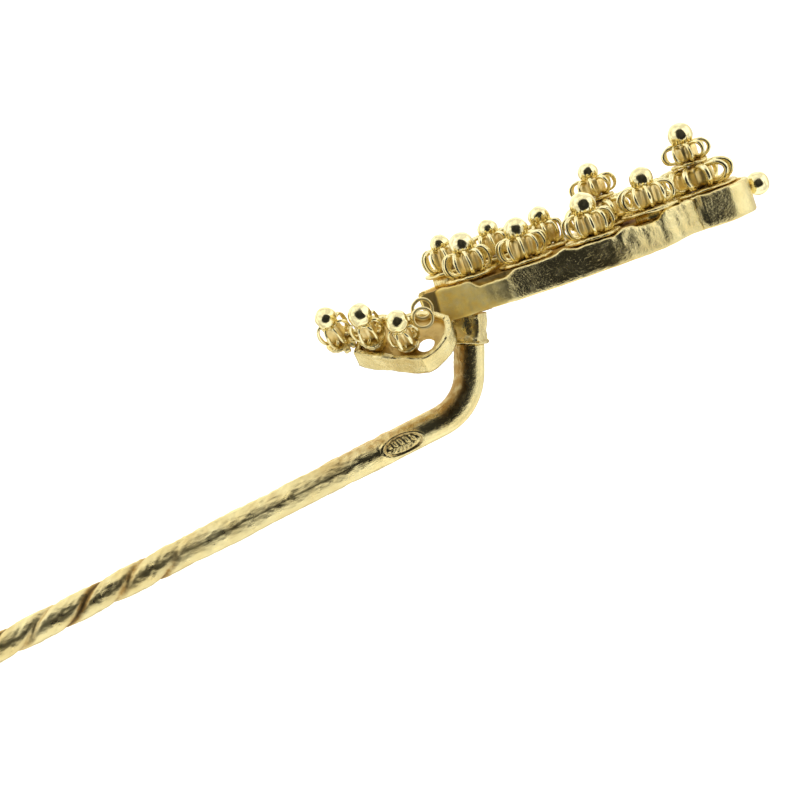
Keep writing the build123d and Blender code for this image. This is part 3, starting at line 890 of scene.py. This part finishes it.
def add_seat(name, place, radius, drop, seed, solder=()):
    """A cut and beaten disc on its short pedestal, with lumps of solder at the bearings given in degrees."""
    sides = 84
    profile = [(0.02, 0.0), (0.3, 0.0), (0.55, 0.0), (0.75, 0.0), (0.9, 0.0), (0.97, -0.015), (1.0, -0.06)]
    profile += [(1.0, -0.1), (0.97, -0.145), (0.9, -0.16), (0.6, -0.16), (0.3, -0.16), (0.02, -0.16)]
    rows = []
    for k in range(sides):
        turn = 2 * pi * k / sides
        edge = radius * (1 + 0.045 * noise.noise(Vector((cos(turn) * 2.2, sin(turn) * 2.2, seed))))
        droop = 0.05 * noise.noise(Vector((cos(turn) * 1.4, sin(turn) * 1.4, seed + 3)))
        rows.append([
            (edge * r * cos(turn), edge * r * sin(turn), z + droop * r * r) for r, z in profile])
    shape = Shape().grid(rows, closed=True)
    if drop > SEAT_THICKNESS + 0.02:
        outer = min(radius - PEDESTAL_INSET, PEDESTAL_MAX_R)
        inner = outer - PEDESTAL_WALL
        rows = []
        for k in range(sides):
            turn = 2 * pi * k / sides
            swell = 1 + 0.06 * noise.noise(Vector((cos(turn) * 2.5, sin(turn) * 2.5, seed + 7)))
            ring = [
                (outer, -drop), (outer * 0.99, -drop * 0.75), (outer, -0.14), (inner, -0.14), (inner, -drop)]
            rows.append([(r * swell * cos(turn), r * swell * sin(turn), z) for r, z in ring])
        shape.grid(rows, closed=True)
    for bearing in solder:
        lump = (radius * 1.04 * cos(radians(bearing)), radius * 1.04 * sin(radians(bearing)), -0.12)
        shape.sphere(lump, SOLDER_R, 12, 16, seed=bearing, uneven=0.25)
    shape.at(place)
    layers = [(0.5, 0.045, None), (0.16, 0.028, None)]
    add_piece(name.replace("_seat", "_disc").replace("_tier", "_upper_disc"), shape, sheet_gold,
              [name], layers, seed)


def make_rosettes():
    seed = 1.0
    for name, (place, seat_top, coil_r, ball_r) in HEAD_ROSETTES.items():
        seat = moved(head, place, seat_top)
        coil = (LOOPS, WIRE, coil_r, COIL_HEIGHT)
        add_seat(name + "_seat", seat, coil_r + SEAT_MARGIN, seat_top - RIM_TOP, seed)
        add_coil(name + "_coil", seat, *coil, seed)
        add_ball(name + "_ball", seat, ball_r, PEG_R, *coil, seed)
        seed += 1.37
    for name, (place, seat_top, crown_r, ball_r) in TALL_ROSETTES.items():
        floor_height = RIM_TOP if name == "back_tall" else COLLET_TOP
        seat = moved(head, place, seat_top)
        tier = moved(head, place, seat_top + CROWN_HEIGHT + SEAT_THICKNESS)
        coil = (TOP_LOOPS, WIRE, TOP_COIL_R, TOP_COIL_HEIGHT)
        add_seat(name + "_seat", seat, crown_r - SEAT_INSET, seat_top - floor_height, seed)
        add_coil(name + "_crown", seat, CROWN_LOOPS, CROWN_WIRE, crown_r, CROWN_HEIGHT, seed, core=0.62)
        add_seat(name + "_tier", tier, TIER_R, 0.0, seed + 0.5)
        add_coil(name + "_coil", tier, *coil, seed + 0.7)
        add_ball(name + "_ball", tier, ball_r, SMALL_PEG_R, *coil, seed)
        seed += 1.37
    for name, (place, tilt, seat_top, seat_r, coil_r, coil_height, ball_r) in LEAF_ROSETTES.items():
        seat = moved(leaf, place, seat_top, tilt)
        coil = (LEAF_LOOPS, LEAF_WIRE, coil_r, coil_height)
        drop = 0.0 if tilt else seat_top - LEAF_PLATE_TOP
        add_seat(name + "_seat", seat, seat_r, drop, seed, SOLDER_BEARINGS if tilt else ())
        add_coil(name + "_coil", seat, *coil, seed)
        add_ball(name + "_ball", seat, ball_r, SMALL_PEG_R, *coil, seed)
        seed += 1.37


def make_small_pieces():
    reach = COLLET_R + TIP_BALL_R + FIT_GAP
    place = (
        COLLET_CENTRE[0] + reach * cos(TIP_BALL_BEARING), COLLET_CENTRE[1] + reach * sin(TIP_BALL_BEARING))
    shape = Shape().sphere((0, 0, 0), TIP_BALL_R, seed=4.4, uneven=0.04)
    shape = shape.at(moved(head, place, TIP_BALL_HEIGHT))
    add_piece("tip_granule", shape, ball_gold, ["tip_ball"], [(0.4, 0.012, None)], 4.0)
    rings = Shape()
    for n, (place, rise) in enumerate(LEAF_RINGS):
        middle = moved(leaf, place, rise).translation
        ring = frame_at(middle, (1, 0, 0), (0, -1, 0.12))
        path = []
        for i in range(72):
            turn = 2 * pi * i / 72
            r = LEAF_RING_R * (1 + 0.03 * wobble(2 * cos(turn) + sin(turn), n + 2))
            path.append(ring @ Vector((r * cos(turn), r * sin(turn), 0.02 * sin(2 * turn))))
        rings.tube(path, LEAF_RING_WIRE / 2, 12, True)
    rings.grime_and_light = [RING_TARNISH] * len(rings.points)
    add_piece("leaf_loops", rings, wire_gold, ["leaf_rings"], [(0.3, 0.012, None)], 7.0)


# ---------------------------------------------------------------- stage
def add_camera():
    right, up, back = view_axes()
    camera = bpy.data.objects.new("camera", bpy.data.cameras.new("camera"))
    bpy.context.scene.collection.objects.link(camera)
    place = (Vector(VIEW_CENTRE) + back * VIEW_DISTANCE) * MM
    turn = Matrix((right, up, back)).transposed().to_4x4()
    camera.matrix_world = Matrix.Translation(place) @ turn
    camera.data.sensor_width = 36.0
    camera.data.lens = 36.0 * VIEW_DISTANCE / VIEW_WIDTH
    camera.data.clip_start = 0.001
    bpy.context.scene.camera = camera


def add_world():
    """A pale tent of uneven brightness, with the dark opening that the lens looks through."""
    right, up, back = view_axes()
    world = bpy.data.worlds.new("tent")
    bpy.context.scene.world = world
    world.use_nodes = True
    nodes, links = world.node_tree.nodes, world.node_tree.links
    nodes.clear()
    out = nodes.new("ShaderNodeOutputWorld")
    coord = nodes.new("ShaderNodeTexCoord")

    def toward(way):
        dot = nodes.new("ShaderNodeVectorMath")
        dot.operation = "DOT_PRODUCT"
        dot.inputs[1].default_value = tuple(way)
        links.new(coord.outputs["Generated"], dot.inputs[0])
        return dot.outputs["Value"]

    def ramp(value, low, high, to_low, to_high):
        node = nodes.new("ShaderNodeMapRange")
        node.interpolation_type = "SMOOTHSTEP"
        for key, number in (("From Min", low), ("From Max", high), ("To Min", to_low), ("To Max", to_high)):
            node.inputs[key].default_value = number
        links.new(value, node.inputs["Value"])
        return node.outputs["Result"]

    def times(first, second):
        node = nodes.new("ShaderNodeMath")
        node.operation = "MULTIPLY"
        links.new(first, node.inputs[0])
        links.new(second, node.inputs[1])
        return node.outputs[0]

    cloth = nodes.new("ShaderNodeTexNoise")
    cloth.inputs["Scale"].default_value = 1.8
    cloth.inputs["Detail"].default_value = 1.0
    links.new(coord.outputs["Generated"], cloth.inputs["Vector"])
    level = ramp(toward(up), -0.9, 0.9, 1.22, 1.45)
    level = times(level, ramp(cloth.outputs["Fac"], 0.40, 0.60, 0.62, 1.08))
    opening = ramp(toward(back), cos(radians(54)), cos(radians(44)), 1.0, 0.03)
    level = times(level, opening)
    light = nodes.new("ShaderNodeBackground")
    light.inputs["Color"].default_value = (1.0, 1.0, 0.985, 1)
    links.new(level, light.inputs["Strength"])
    paper = nodes.new("ShaderNodeBackground")
    paper.inputs["Color"].default_value = (1.3, 1.3, 1.3, 1)
    ray = nodes.new("ShaderNodeLightPath")
    pick = nodes.new("ShaderNodeMixShader")
    links.new(ray.outputs["Is Camera Ray"], pick.inputs[0])
    links.new(light.outputs[0], pick.inputs[1])
    links.new(paper.outputs[0], pick.inputs[2])
    links.new(pick.outputs[0], out.inputs["Surface"])


def add_floor():
    """A sheet of white paper well below the pin."""
    half = FLOOR_HALF * MM
    mesh = bpy.data.meshes.new("floor")
    corners = [(-half, -half, 0), (half, -half, 0), (half, half, 0), (-half, half, 0)]
    mesh.from_pydata(corners, [], [(0, 1, 2, 3)])
    floor = bpy.data.objects.new("floor", mesh)
    floor.location = (0, 0, FLOOR_Z * MM)
    bpy.context.scene.collection.objects.link(floor)
    paper = bpy.data.materials.new("paper")
    paper.use_nodes = True
    shader = paper.node_tree.nodes["Principled BSDF"]
    shader.inputs["Base Color"].default_value = (0.95, 0.95, 0.95, 1)
    shader.inputs["Roughness"].default_value = 0.9
    shader.inputs["Specular IOR Level"].default_value = 0.1
    shader.inputs["Emission Color"].default_value = (1, 1, 1, 1)
    shader.inputs["Emission Strength"].default_value = 0.5
    mesh.materials.append(paper)
    floor.visible_glossy = False  # the tent alone is mirrored in the gold


add_camera()
add_world()
add_floor()
bpy.context.scene.view_settings.view_transform = "Standard"

make_stem()
make_block()
make_main_rim()
make_collet()
make_leaf_rim()
make_rosettes()
make_small_pieces()
for name in ("main_plate", "under_bridge", "end_plate", "leaf_plate"):
    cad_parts[name].data.materials.clear()
    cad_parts[name].data.materials.append(shaded_plate_gold)
